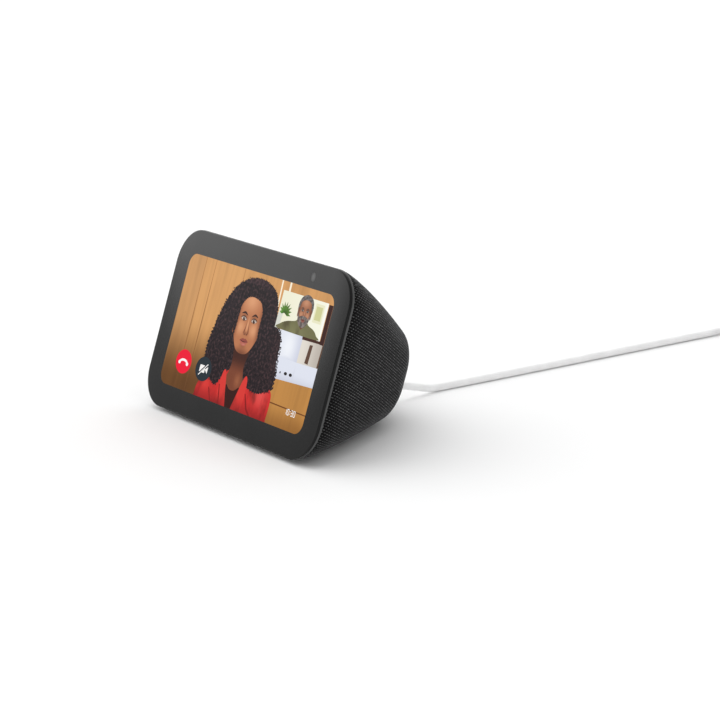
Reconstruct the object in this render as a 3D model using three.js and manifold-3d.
// Tabletop smart speaker with a 5.5 inch touch screen, its power cord and its wall adapter.
// Units are millimetres. X runs to the right as seen from the front, Y to the back, Z up.
// The origin is on the table, under the middle of the speaker's own box.
import * as THREE from 'three';
import { mergeVertices } from 'three/addons/utils/BufferGeometryUtils.js';
import Module from 'manifold-3d';

const wasm = await Module();
wasm.setup();

// ---------------------------------------------------------------- driving dimensions
const FACE_WIDTH = 147;          // front face, outside the rim
const FACE_HEIGHT = 84.4;        // measured up the slope of the face
const FACE_CORNER = 16.6;
const TILT = THREE.MathUtils.degToRad(17.6);   // the face leans back by this much
const LIFT = 2;                  // underside of the body above the table
const BODY_DEPTH = 81.5;         // glass to nose, along the face's normal
const FRONT_EDGE_Y = -45.87;     // bottom front edge of the face

const SCREEN_WIDTH = 123.4;      // lit area
const SCREEN_HEIGHT = 61.8;
const SCREEN_MIDDLE = 42.1;      // up the face

const GLASS_INSET = 0.2;
const GLASS_THICKNESS = 1.1;
const RIM_FRONT = 1.7;           // depths behind the front of the glass
const RIM_BACK = 4.2;
const SPIGOT_BACK = 6.2;
const BODY_START = 4.5;          // where fabric and shell begin

const FABRIC = 1;                // fabric sleeve thickness
const SKIN_GAP = 0.15;           // glue line between sleeve and shell
const SHELL = 2;                 // shell wall

const CAMERA_X = 41.1;
const CAMERA_UP = 78;
const SHUTTER_TRAVEL = 8.2;

const DECK_MIDDLE = 9.4;         // depth of the middle of the button strip
const DECK_WIDTH = 94;
const DECK_DEPTH = 8.6;
const BUTTONS = { mic_camera_off_button: -29, volume_down_button: -13, volume_up_button: 3 };

const SPEAKER_UP = 43;           // middle of the driver, up the face

const PORT = new THREE.Vector3(-9, 40.6, 11.3);   // where the port's axis leaves the back
const PORT_DROP = THREE.MathUtils.degToRad(12);   // the port points down a little
const CORD = 3.6;                // cord diameter

// ---------------------------------------------------------------- finishes
const finish = (color, roughness, metalness = 0) =>
  new THREE.MeshStandardMaterial({ color, roughness, metalness });
const GLASS = () => finish(0x1b1c1e, 0.12);
const CHARCOAL = () => finish(0x38393b, 0.5);
const FABRIC_FINISH = () => finish(0x2b2c2e, 0.95);
const BLACK_PLASTIC = () => finish(0x1d1e20, 0.55);
const RUBBER = () => finish(0x2a2a2b, 0.9);
const STEEL = () => finish(0xb9bbbd, 0.35, 1);
const ALUMINIUM = () => finish(0xc8cacb, 0.4, 1);
const BOARD = () => finish(0x1d5a3a, 0.6);
const CHIP = () => finish(0x151617, 0.5);
const COPPER = () => finish(0xb87a4b, 0.4, 1);
const WHITE_PLASTIC = () => finish(0xf0f0ee, 0.35);
const WHITE_CORD = () => finish(0xf2f2f0, 0.5);
const PAPER_CONE = () => finish(0x2e2e30, 0.8);

// ---------------------------------------------------------------- solid helpers
// A geometry becomes a manifold solid, whichever way its faces were wound.
function solid(geometry) {
  const bare = geometry.clone();
  bare.deleteAttribute('normal');
  bare.deleteAttribute('uv');
  const merged = mergeVertices(bare, 1e-4);
  const vertProperties = Float32Array.from(merged.attributes.position.array);
  const triVerts = Uint32Array.from(merged.index.array);
  return new wasm.Manifold(new wasm.Mesh({ numProp: 3, vertProperties, triVerts }));
}

function geometryOf(manifold) {
  const { vertProperties, triVerts } = manifold.getMesh();
  const geometry = new THREE.BufferGeometry();
  geometry.setAttribute('position', new THREE.BufferAttribute(vertProperties, 3));
  geometry.setIndex(new THREE.BufferAttribute(triVerts, 1));
  geometry.computeVertexNormals();
  return geometry;
}

const cut = (geometry, ...tools) => geometryOf(
  tools.reduce((body, tool) => body.subtract(solid(tool)), solid(geometry)));
const fuse = (geometry, ...more) => geometryOf(
  more.reduce((body, other) => body.add(solid(other)), solid(geometry)));
const common = (a, b) => geometryOf(solid(a).intersect(solid(b)));

const box = (x0, x1, y0, y1, z0, z1) => new THREE.BoxGeometry(x1 - x0, y1 - y0, z1 - z0)
  .translate((x0 + x1) / 2, (y0 + y1) / 2, (z0 + z1) / 2);

// A post along Z between two heights.
const post = (radius, x, y, z0, z1, sides = 16) =>
  new THREE.CylinderGeometry(radius, radius, z1 - z0, sides)
    .rotateX(Math.PI / 2).translate(x, y, (z0 + z1) / 2);

// A pill or a rounded rectangle standing along Z between two heights.
function pill(width, height, radius, x, y, z0, z1, segments = 4) {
  const w = width / 2 - radius;
  const h = height / 2 - radius;
  const shape = new THREE.Shape();
  shape.absarc(w, h, radius, 0, Math.PI / 2);
  shape.absarc(-w, h, radius, Math.PI / 2, Math.PI);
  shape.absarc(-w, -h, radius, Math.PI, 1.5 * Math.PI);
  shape.absarc(w, -h, radius, 1.5 * Math.PI, 2 * Math.PI);
  return new THREE.ExtrudeGeometry(shape, {
    depth: z1 - z0, bevelEnabled: false, curveSegments: segments,
  }).translate(x, y, z0);
}

// A ring of points: a rounded rectangle at height z, with its own top and bottom corner radii.
function ring(halfWidth, bottom, top, topRadius, bottomRadius, z, segments = 5) {
  const limit = Math.min(halfWidth, (top - bottom) / 2);
  const rt = Math.min(topRadius, limit);
  const rb = Math.min(bottomRadius, limit);
  const corners = [
    [halfWidth - rb, bottom + rb, rb, -0.5], [halfWidth - rt, top - rt, rt, 0],
    [-halfWidth + rt, top - rt, rt, 0.5], [-halfWidth + rb, bottom + rb, rb, 1],
  ];
  return corners.flatMap(([cx, cy, radius, quarter]) =>
    Array.from({ length: segments + 1 }, (_, i) => {
      const angle = (quarter + 0.5 * i / segments) * Math.PI;
      return new THREE.Vector3(cx + radius * Math.cos(angle), cy + radius * Math.sin(angle), z);
    }));
}

// Rings of equal length become one closed skin, capped at both ends. The rings run from the
// highest z to the lowest.
function loft(rings) {
  const points = rings.flat();
  const count = rings[0].length;
  const index = [];
  for (let r = 0; r + 1 < rings.length; r++) {
    for (let i = 0; i < count; i++) {
      const a = r * count + i;
      const b = r * count + (i + 1) % count;
      index.push(a, a + count, b + count, a, b + count, b);
    }
  }
  const addCap = (start, flip) => {
    const middle = new THREE.Vector3();
    for (let i = 0; i < count; i++) middle.add(points[start + i]);
    points.push(middle.divideScalar(count));
    for (let i = 0; i < count; i++) {
      const a = start + i;
      const b = start + (i + 1) % count;
      index.push(points.length - 1, flip ? b : a, flip ? a : b);
    }
  };
  addCap(0, false);
  addCap((rings.length - 1) * count, true);
  const geometry = new THREE.BufferGeometry().setFromPoints(points);
  geometry.setIndex(index);
  geometry.computeVertexNormals();
  return geometry;
}

// A round tube along a smooth curve through the points.
function tube(points, radius, steps, sides = 8) {
  const section = new THREE.Shape();
  section.absarc(0, 0, radius, 0, 2 * Math.PI);
  return new THREE.ExtrudeGeometry(section, {
    steps, curveSegments: sides / 2, extrudePath: new THREE.CatmullRomCurve3(points),
  });
}

// A turned part about Z from [radius, height] pairs, listed in either direction.
function turned(profile, sides = 24) {
  const points = profile.map(([r, h]) => new THREE.Vector2(r, h));
  if (THREE.ShapeUtils.area(points) < 0) points.reverse();
  return new THREE.LatheGeometry(points, sides).rotateX(Math.PI / 2);
}

// ---------------------------------------------------------------- the body's own shape
// Depth 0 is the front of the glass. Sections are parallel to the face, and the body tapers to a
// rounded nose at the back. Its underside stays level with the table.
const TAPER_START = 3.2;
const LENGTH = BODY_DEPTH - TAPER_START;
const SIDE_SLOPE = Math.tan(THREE.MathUtils.degToRad(33.2));
const TOP_SLOPE = Math.tan(THREE.MathUtils.degToRad(18.2));
const FLOOR_SLOPE = Math.tan(TILT);
const NOSE_SIDE = 18.7;
const NOSE_TOP = 16.1;

const noseRounding = (m, length, radius) => {
  const k = Math.max(0, (m - (length - radius)) / radius);
  return radius * (1 - Math.sqrt(Math.max(0, 1 - k * k)));
};

function bodyOutline(depth, inset = 0) {
  const m = Math.max(depth - TAPER_START, 0.001);
  const length = LENGTH - inset;
  const side = SIDE_SLOPE * m * (m / LENGTH) ** 0.194 + inset / Math.cos(Math.atan(SIDE_SLOPE));
  const top = TOP_SLOPE * m * (m / LENGTH) ** 0.11 + inset / Math.cos(Math.atan(TOP_SLOPE));
  const roundTop = noseRounding(m, length, NOSE_TOP - inset);
  const blend = m / LENGTH;
  return {
    halfWidth: FACE_WIDTH / 2 - 0.6 - side - noseRounding(m, length, NOSE_SIDE - inset),
    top: FACE_HEIGHT - 0.3 - top - roundTop,
    bottom: depth * FLOOR_SLOPE + inset / Math.cos(TILT) + roundTop,
    topRadius: 16 - 2.2 * blend - inset,
    bottomRadius: 16 - 1.4 * blend - inset,
  };
}

function bodyLoft(inset, start, sections = 13) {
  const end = BODY_DEPTH - inset;
  const rings = Array.from({ length: sections }, (_, i) => {
    const depth = start + (end - start) * (1 - (1 - i / (sections - 1)) ** 1.7);
    const o = bodyOutline(depth, inset);
    return ring(o.halfWidth, o.bottom, o.top, o.topRadius, o.bottomRadius, -depth);
  });
  return loft(rings);
}

// A slice of the front face: outline shrunk by inset, underside level with the table.
const faceRing = (inset, depth, radius = FACE_CORNER) => ring(
  FACE_WIDTH / 2 - inset, depth * FLOOR_SLOPE + inset, FACE_HEIGHT - inset,
  radius - inset, radius - inset, -depth);

// ---------------------------------------------------------------- assembly
const speaker = new THREE.Group();
const face = new THREE.Group();          // X right, Y up the face, Z out of the glass
face.rotation.x = Math.PI / 2 - TILT;
face.position.set(0, FRONT_EDGE_Y, LIFT);
speaker.add(face);

function place(parent, name, geometry, material) {
  const mesh = new THREE.Mesh(geometry, material);
  mesh.name = name;
  parent.add(mesh);
  return mesh;
}

// The button strip lies along the top of the body: X right, Y to the back, Z out of the strip.
const deckEnds = [DECK_MIDDLE - DECK_DEPTH / 2, DECK_MIDDLE + DECK_DEPTH / 2]
  .map((depth) => bodyOutline(depth).top);
const deckSlope = Math.atan2(deckEnds[0] - deckEnds[1], DECK_DEPTH);
const deck = new THREE.Group();
deck.position.set(0, (deckEnds[0] + deckEnds[1]) / 2, -DECK_MIDDLE);
deck.rotation.x = -Math.PI / 2 - deckSlope;
face.add(deck);

// Geometry made in the strip's frame, moved to the face's frame, for cutting.
deck.updateMatrix();
const inFace = (geometry) => geometry.clone().applyMatrix4(deck.matrix);
face.updateMatrix();
const globalToFace = face.matrix.clone().invert();
const fromTable = (geometry) => geometry.clone().applyMatrix4(globalToFace);

// ---------------------------------------------------------------- display
const SCREW_X = 65;
const SCREW_UP = [20, 67];

function addDisplay() {
  const glass = loft([
    faceRing(GLASS_INSET + 1.6, 0), faceRing(GLASS_INSET + 0.8, 0.12),
    faceRing(GLASS_INSET + 0.25, 0.42), faceRing(GLASS_INSET, 0.8),
    faceRing(GLASS_INSET, GLASS_THICKNESS),
  ]);
  place(face, 'front_glass', glass, GLASS());

  const opening = pill(SCREEN_WIDTH + 3, SCREEN_HEIGHT + 4.4, 2, 0, SCREEN_MIDDLE, -9, 1);
  const cameraBay = box(24.2, 52.5, 73, 82.4, -9, 1);
  const gasket = cut(loft([faceRing(0.9, 1.2), faceRing(0.9, 1.6)]), opening, cameraBay);
  place(face, 'glass_gasket', gasket, RUBBER());

  const rim = loft([
    faceRing(0.4, RIM_FRONT), faceRing(0, 2.2), faceRing(0, 3.6), faceRing(0.4, RIM_BACK)]);
  const spigotTop = bodyOutline(SPIGOT_BACK, FABRIC + SKIN_GAP + SHELL).top - 0.4;
  const spigot = loft([RIM_BACK - 1, SPIGOT_BACK].map((depth) =>
    ring(67.6, 5.7, spigotTop, 12, 12, -depth)));
  const screwHoles = [-1, 1].flatMap((side) => SCREW_UP.map((up) =>
    post(0.85, side * SCREW_X, up, -7, -2.8, 8)));
  place(face, 'front_frame', cut(fuse(rim, spigot), opening, cameraBay, ...screwHoles),
    CHARCOAL());

  place(face, 'lcd_panel',
    pill(SCREEN_WIDTH + 2.2, SCREEN_HEIGHT + 3.6, 1, 0, SCREEN_MIDDLE, -2.9, -1.4, 3),
    finish(0x22262b, 0.2));
  const tray = cut(
    pill(SCREEN_WIDTH + 2.4, SCREEN_HEIGHT + 3.8, 1, 0, SCREEN_MIDDLE, -5.6, -3.1, 3),
    pill(SCREEN_WIDTH, SCREEN_HEIGHT + 1, 1, 0, SCREEN_MIDDLE, -4.9, -2, 3));
  place(face, 'backlight_tray', tray, ALUMINIUM());
  place(face, 'light_guide',
    pill(SCREEN_WIDTH - 0.6, SCREEN_HEIGHT + 0.4, 0.8, 0, SCREEN_MIDDLE, -4.7, -3.2, 3),
    finish(0xe8eef0, 0.2));

  const plateHoles = [-1, 1].flatMap((side) => SCREW_UP.map((up) =>
    post(1.1, side * SCREW_X, up, -9, -5, 8)));
  const flexSlot = pill(26, 3.4, 1.6, 0, 14, -9, -5, 3);
  place(face, 'chassis_plate',
    cut(pill(134, 66.5, 10, 0, 41.75, -7.7, -6.5), ...plateHoles, flexSlot), ALUMINIUM());
  let number = 1;
  for (const side of [-1, 1]) {
    for (const up of SCREW_UP) {
      const screw = turned([[0, -3.2], [0.7, -3.2], [0.7, -7.9], [1.4, -7.9], [1.4, -8.9],
        [0.5, -8.9], [0.5, -8.4], [0, -8.4]], 10).translate(side * SCREW_X, up, 0);
      place(face, `chassis_screw_${number++}`, screw, STEEL());
    }
  }
}

// ---------------------------------------------------------------- camera and its shutter
function addCamera() {
  const barrel = turned([[0, -2.6], [1, -2.6], [1.4, -2], [2.5, -2], [2.5, -4], [0, -4]], 20)
    .translate(CAMERA_X, CAMERA_UP, 0);
  const body = box(CAMERA_X - 3.2, CAMERA_X + 3.2, CAMERA_UP - 2.8, CAMERA_UP + 2.9, -7, -3.4);
  place(face, 'camera_module', fuse(barrel, body), CHIP());
  place(face, 'light_sensor', box(48, 51, CAMERA_UP - 1, CAMERA_UP + 1, -2.6, -1.5), CHIP());

  // The blade slides behind the glass, and its arm runs back under the strip to the knob.
  const bladeStart = 26;
  const blade = box(bladeStart, bladeStart + 10, 75.2, 81, -1.75, -1.35);
  const arm = box(bladeStart, bladeStart + 2, 76, 79, -10.2, -1.35);
  place(face, 'shutter_blade', fuse(blade, arm), finish(0xd8d8d6, 0.5));
  const knobX = bladeStart + 1;
  const stem = box(knobX - 0.8, knobX + 0.8, 79.1, 82.2, -10.1, -8.7);
  const knob = inFace(pill(6.6, 3, 1.4, knobX, 0, -0.4, 0.55));
  place(face, 'shutter_knob', fuse(stem, knob), BLACK_PLASTIC());
  return knobX;
}

// ---------------------------------------------------------------- button strip
const STRIP_THICKNESS = 1.4;
const MIC_X = 42;

function addStrip(knobX) {
  const slotMiddle = knobX + SHUTTER_TRAVEL / 2;
  const holes = Object.values(BUTTONS).map((x) => pill(9.4, 4.9, 2.4, x, 0, -3, 1));
  const track = pill(7.2 + SHUTTER_TRAVEL, 3.5, 1.7, slotMiddle, 0, -0.55, 1);
  const slot = pill(2.8 + SHUTTER_TRAVEL, 2.3, 1.1, slotMiddle, 0, -3, 1);
  const micHoles = [-1, 1].map((side) => post(0.5, side * MIC_X, 1.2, -3, 1, 10));
  place(deck, 'button_strip',
    cut(pill(DECK_WIDTH, DECK_DEPTH, 2, 0, 0, -STRIP_THICKNESS, 0), ...holes, track, slot,
      ...micHoles), CHARCOAL());

  for (const [name, x] of Object.entries(BUTTONS)) {
    const cap = loft([[8.2, 3.7, 0.5], [9, 4.5, 0.25], [9, 4.5, -1.7]].map(([w, d, z]) =>
      ring(w / 2, -d / 2, d / 2, d / 2, d / 2, z).map((p) => p.add(new THREE.Vector3(x, 0, 0)))));
    const flange = pill(10.4, 5.9, 2.9, x, 0, -2.3, -1.6);
    const stem = post(1, x, 0, -3, -2.2, 12);
    place(deck, name, fuse(cap, flange, stem), BLACK_PLASTIC());
    place(deck, name.replace('button', 'switch'),
      fuse(box(x - 2.2, x + 2.2, -1.5, 1.5, -4.9, -4), post(0.9, x, 0, -4.2, -3.6, 12)), STEEL());
  }
  place(deck, 'button_board', box(-35, 9, -1.2, 4.2, -6, -5), BOARD());
  for (const [name, side] of [['mic_left', -1], ['mic_right', 1]]) {
    const boot = cut(post(2, side * MIC_X, 1.2, -3.4, -1.6, 14),
      post(0.5, side * MIC_X, 1.2, -2.6, 0, 8));
    place(deck, name, boot, RUBBER());
  }
}

// ---------------------------------------------------------------- shell, fabric and base
// Plan of the base: a trapezoid with rounded corners that narrows to the back.
const BASE = { front: 7, back: 61, frontHalf: 51, backHalf: 19, corner: 8 };

function basePlan(inset, z0, z1) {
  const flank = Math.atan2(BASE.frontHalf - BASE.backHalf, BASE.back - BASE.front);
  const halfAt = (y) => BASE.frontHalf - (y - BASE.front) * Math.tan(flank)
    - inset / Math.cos(flank);
  const front = BASE.front + inset;
  const back = BASE.back - inset;
  const corners = [[-halfAt(front), front], [halfAt(front), front],
    [halfAt(back), back], [-halfAt(back), back]].map(([x, y]) => new THREE.Vector2(x, y));
  const radius = Math.max(BASE.corner - inset, 1);
  const shape = new THREE.Shape();
  corners.forEach((corner, i) => {
    const from = corners[(i + 3) % 4].clone().sub(corner).normalize();
    const to = corners[(i + 1) % 4].clone().sub(corner).normalize();
    const halfAngle = Math.acos(from.dot(to)) / 2;
    const start = corner.clone().addScaledVector(from, radius / Math.tan(halfAngle));
    const middle = corner.clone().add(from.clone().add(to).normalize()
      .multiplyScalar(radius / Math.sin(halfAngle)));
    const sweep = Math.PI - 2 * halfAngle;
    const first = Math.atan2(start.y - middle.y, start.x - middle.x);
    shape.absarc(middle.x, middle.y, radius, first, first + sweep);
  });
  return new THREE.ExtrudeGeometry(shape, { depth: z1 - z0, bevelEnabled: false,
    curveSegments: 5 }).translate(0, FRONT_EDGE_Y, z0);
}

const BASE_SCREWS = [[-40, 15], [40, 15], [-20, 52], [20, 52]];

// The port's frame: Z runs out of the back along the plug.
const port = new THREE.Group();
port.position.copy(PORT);
port.rotation.x = -Math.PI / 2 - PORT_DROP;
port.updateMatrix();
speaker.add(port);
const fromPort = (geometry) => fromTable(geometry.clone().applyMatrix4(port.matrix));
const CUP = 5.7;
const PLUG_END = 14;

function addShell() {
  const notch = inFace(box(-DECK_WIDTH / 2 - 0.3, DECK_WIDTH / 2 + 0.3,
    -12, DECK_DEPTH / 2 + 0.3, -8, 6));
  const portHole = fromPort(post(CUP + 0.3, 0, 0, -14, 12, 20));

  const grille = [];
  for (const [radius, count] of [[0, 1], [6.4, 6], [12.4, 10]]) {
    for (let i = 0; i < count; i++) {
      const angle = 2 * Math.PI * i / count + 0.3;
      const x = radius * Math.cos(angle);
      const y = SPEAKER_UP + 4 + radius * Math.sin(angle);
      if (y > SPEAKER_UP - 1) grille.push(post(1.5, x, y, -90, -62, 8));
    }
  }
  const wall = cut(bodyLoft(FABRIC + SKIN_GAP, BODY_START),
    bodyLoft(FABRIC + SKIN_GAP + SHELL, BODY_START - 1), notch, portHole,
    fromTable(basePlan(5, -3, 12)), ...grille);
  const floorTop = LIFT + FABRIC + SKIN_GAP + SHELL;
  const bosses = BASE_SCREWS.map(([x, y]) => fromTable(
    post(2.6, x, FRONT_EDGE_Y + y, floorTop - 0.4, floorTop + 4.5, 12)));
  const bores = BASE_SCREWS.map(([x, y]) => fromTable(
    post(0.9, x, FRONT_EDGE_Y + y, 0, floorTop + 3.8, 10)));
  place(face, 'rear_shell', cut(fuse(wall, ...bosses), ...bores), BLACK_PLASTIC());

  const sleeve = cut(bodyLoft(0, BODY_START), bodyLoft(FABRIC, BODY_START - 1),
    notch, portHole, fromTable(basePlan(-0.3, -3, 12)));
  place(face, 'fabric_sleeve', sleeve, FABRIC_FINISH());
}

function addBase() {
  const top = LIFT + FABRIC;
  const heads = BASE_SCREWS.map(([x, y]) => post(2, x, FRONT_EDGE_Y + y, 0, LIFT + 0.5, 12));
  const shanks = BASE_SCREWS.map(([x, y]) => post(1.1, x, FRONT_EDGE_Y + y, 0, top + 3, 8));
  const plate = cut(fuse(basePlan(0, LIFT, top), basePlan(5.3, top - 0.2, top + 1.6)),
    ...heads, ...shanks);
  place(speaker, 'base_plate', plate, BLACK_PLASTIC());
  place(speaker, 'rubber_foot', basePlan(1, 0, LIFT - 0.1), RUBBER());
  BASE_SCREWS.forEach(([x, y], i) => {
    const z = LIFT + 0.05;
    const screw = turned([[0, z + 0.2], [0.6, z + 0.2], [0.6, z], [1.7, z], [1.7, z + 0.25],
      [0.75, z + 0.4], [0.75, z + 6], [0, z + 6]], 10).translate(x, FRONT_EDGE_Y + y, 0);
    place(speaker, `base_screw_${i + 1}`, screw, STEEL());
  });
  for (const [name, side] of [['stand_magnet_left', -1], ['stand_magnet_right', 1]]) {
    place(speaker, name, post(6, side * 19, FRONT_EDGE_Y + 24, top + 1.7, top + 4.7, 20),
      STEEL());
  }
}

// ---------------------------------------------------------------- electronics
function addElectronics() {
  place(face, 'main_board', box(-48, 48, 18, 68, -10.6, -9.2), BOARD());
  place(face, 'processor', box(-9, 9, 42, 60, -12.2, -10.8), CHIP());
  place(face, 'shield_can', box(20, 44, 40, 62, -13, -10.8), STEEL());
  place(face, 'heat_plate', cut(box(-46, 18, 30, 66, -13.8, -12.4),
    post(1.5, -40, 60, -15, -11, 10), post(1.5, -40, 36, -15, -11, 10)), ALUMINIUM());
  for (const [name, side] of [['antenna_left', -1], ['antenna_right', 1]]) {
    place(face, name, box(side * 52 - 4, side * 52 + 4, 34, 60, -15, -14.4), COPPER());
  }
  const strap = new THREE.Shape();
  const outer = [[14, -5.9], [12.9, -5.9], [12.9, -9.6], [13.6, -11.2], [16.5, -11.2],
    [16.5, -10.9], [13.9, -10.9], [13.2, -9.4], [13.2, -6.2], [14, -6.2]];
  outer.forEach(([up, z], i) => (i ? strap.lineTo(up, z) : strap.moveTo(up, z)));
  const flex = new THREE.ExtrudeGeometry(strap, { depth: 22, bevelEnabled: false })
    .applyMatrix4(new THREE.Matrix4().makeBasis(new THREE.Vector3(0, 1, 0),
      new THREE.Vector3(0, 0, 1), new THREE.Vector3(1, 0, 0))).translate(-11, 0, 0);
  place(face, 'display_flex', flex, COPPER());
}

// ---------------------------------------------------------------- loudspeaker
// The driver faces the back. Z is out of the glass, so it is turned to look along minus Z.
function addSpeaker() {
  const up = SPEAKER_UP;
  const enclosure = cut(pill(54, 50, 12, 0, up, -44.4, -17, 5),
    pill(50, 46, 10, 0, up, -50, -19, 5), post(1.2, -20, up, -22, -15, 8));
  place(face, 'speaker_enclosure', enclosure, BLACK_PLASTIC());
  const basket = turned([[12.5, -33.6], [13.5, -33.6], [19.6, -43.4], [22.6, -44.6],
    [22.6, -46], [20.2, -46], [18.4, -44.4], [12.5, -34.6], [12.5, -33.6]], 20)
    .translate(0, up, 0);
  place(face, 'speaker_basket', basket, STEEL());
  const magnet = turned([[0, -24], [13, -24], [13, -33.3], [9.2, -33.3], [9.2, -27], [7.6, -27],
    [7.6, -33.3], [0, -33.3]], 20).translate(0, up, 0);
  place(face, 'speaker_magnet', magnet, finish(0x3a3c40, 0.4, 0.7));
  const coil = turned([[8.1, -28.5], [8.7, -28.5], [8.7, -36], [8.1, -36], [8.1, -28.5]], 20)
    .translate(0, up, 0);
  place(face, 'voice_coil', coil, COPPER());
  const cone = turned([[0, -38], [5, -37.7], [7.4, -36.9], [8.1, -36.3], [8.8, -36.3],
    [16.2, -42.6], [16.8, -43.6], [15.6, -43.2], [8.6, -37.4], [5, -38.6], [0, -39]], 20)
    .translate(0, up, 0);
  place(face, 'speaker_cone', cone, PAPER_CONE());
}

// ---------------------------------------------------------------- port and plug
function addPort() {
  const cupBlank = cut(post(CUP, 0, 0, -8, 8, 24), post(CUP - 1.1, 0, 0, -6.6, 9, 24),
    post(3.3, 0, 0, -9, 9, 16));
  place(face, 'port_cup', common(fromPort(cupBlank), bodyLoft(0.1, BODY_START)),
    BLACK_PLASTIC());
  const jack = fuse(
    cut(pill(9, 9, 1, 0, 0, -20, -8.3, 3), post(3.1, 0, 0, -18, 0, 18)),
    post(0.8, 0, 0, -18.5, -9.5, 10));
  place(port, 'dc_jack', jack, BLACK_PLASTIC());
  const barrel = turned([[1.2, -17], [2.7, -17], [2.7, -6.3], [1.2, -6.3], [1.2, -17]], 18);
  place(port, 'plug_barrel', barrel, STEEL());
  const overmould = turned([[0, -6], [4, -6], [4.2, -5.6], [4.2, 4.4], [3.5, 6], [2.8, 7],
    [2.4, PLUG_END], [0, PLUG_END]], 16);
  place(port, 'plug_body', overmould, WHITE_PLASTIC());
}

// ---------------------------------------------------------------- cord and wall adapter
// The cord leaves the plug, comes down to the table and runs to a round coil, which it winds
// into layer by layer. It leaves the coil's top turn along X into the adapter.
const RUN = [
  [-9, 54.6, 8.33], [-9.6, 58, 7.7], [-10.6, 61, 7.05], [-11.9, 65, 6.05], [-13.2, 69, 4.95],
  [-14.6, 73.4, 3.8], [-16.1, 79, 2.55], [-17.3, 84, 2], [-18.3, 91, 1.85],
  [-19.8, 104.9, 1.85], [-22.2, 124.7, 1.85], [-24.7, 144.8, 1.85], [-27.2, 165.3, 1.85],
  [-29.8, 186.2, 1.85], [-32.4, 207, 1.85], [-35, 228, 1.85], [-37.6, 249, 1.85],
  [-40.1, 270, 1.95], [-42.7, 293.3, 2.3],
];
const COIL = { x: -19.5, y: 311, radius: 21, halfWidth: 6, floor: 0.6, layers: 4 };
const COIL_TOP = COIL.floor + COIL.layers * CORD;
const ADAPTER = { start: COIL.x + 33.8, length: 42, width: 40, height: 26.4 };
const ADAPTER_Y = COIL.y + COIL.radius + COIL.halfWidth - CORD / 2;

function addCord() {
  const along = new THREE.Vector3(0, Math.cos(PORT_DROP), -Math.sin(PORT_DROP));
  const start = PORT.clone().addScaledVector(along, PLUG_END + 0.3);
  const route = RUN.map(([x, y, z]) => new THREE.Vector3(x, y, z));
  route[0].copy(start);
  place(speaker, 'cord_run', tube(route, CORD / 2, 64), WHITE_CORD());

  const inner = COIL.radius - COIL.halfWidth;
  const outer = COIL.radius + COIL.halfWidth;
  const ringSolid = turned([[inner, COIL.floor], [outer, COIL.floor], [outer, COIL_TOP],
    [inner, COIL_TOP], [inner, COIL.floor]], 32).translate(COIL.x, COIL.y, 0);
  place(speaker, 'cord_coil', ringSolid, WHITE_CORD());
  const tieY = COIL.y - COIL.radius;
  place(speaker, 'cord_tie', cut(
    box(COIL.x - 3, COIL.x + 3, tieY - 6.9, tieY + 7, 0, COIL_TOP + 0.7),
    box(COIL.x - 4, COIL.x + 4, tieY - 6.3, tieY + 6.5, 0.35, COIL_TOP + 0.3)), RUBBER());

  const leadZ = COIL_TOP - CORD / 2;
  const leadStart = COIL.x + 15;
  const reliefStart = ADAPTER.start - 11.6;
  const turnAlongX = (geometry, x) => geometry.rotateY(Math.PI / 2).translate(x, ADAPTER_Y, leadZ);
  place(speaker, 'cord_lead',
    turnAlongX(post(CORD / 2, 0, 0, 0, reliefStart - 0.3 - leadStart, 8), leadStart),
    WHITE_CORD());
  place(speaker, 'adapter_relief',
    turnAlongX(turned([[0, 0], [2.4, 0], [3.4, 9], [4.6, 11.3], [0, 11.3]], 14), reliefStart),
    WHITE_PLASTIC());

  // The adapter lies on its side; its prongs point along X.
  const { length, width, height } = ADAPTER;
  const split = length - 9;
  const blockRing = (shrink, z) => ring(height / 2 - shrink, -width / 2 + shrink,
    width / 2 - shrink, 6 - shrink, 6 - shrink, z, 4);
  const block = (slices) => turnAlongX(loft(slices.map(([shrink, z]) =>
    blockRing(shrink, z))), ADAPTER.start);
  place(speaker, 'adapter_body', block([[0, split], [0, 2], [1.6, 0]]), WHITE_PLASTIC());
  place(speaker, 'adapter_cover', block([[1.2, length], [0, length - 1.4], [0, split + 0.3]]),
    WHITE_PLASTIC());
  for (const [name, side] of [['prong_left', -1], ['prong_right', 1]]) {
    const prong = pill(6.3, 1.5, 0.7, 0, side * 6.35, length + 0.1, length + 16, 2);
    place(speaker, name, turnAlongX(prong, ADAPTER.start), STEEL());
  }
}

addDisplay();
const knobX = addCamera();
addStrip(knobX);
addShell();
addBase();
addElectronics();
addSpeaker();
addPort();
addCord();

export default speaker;
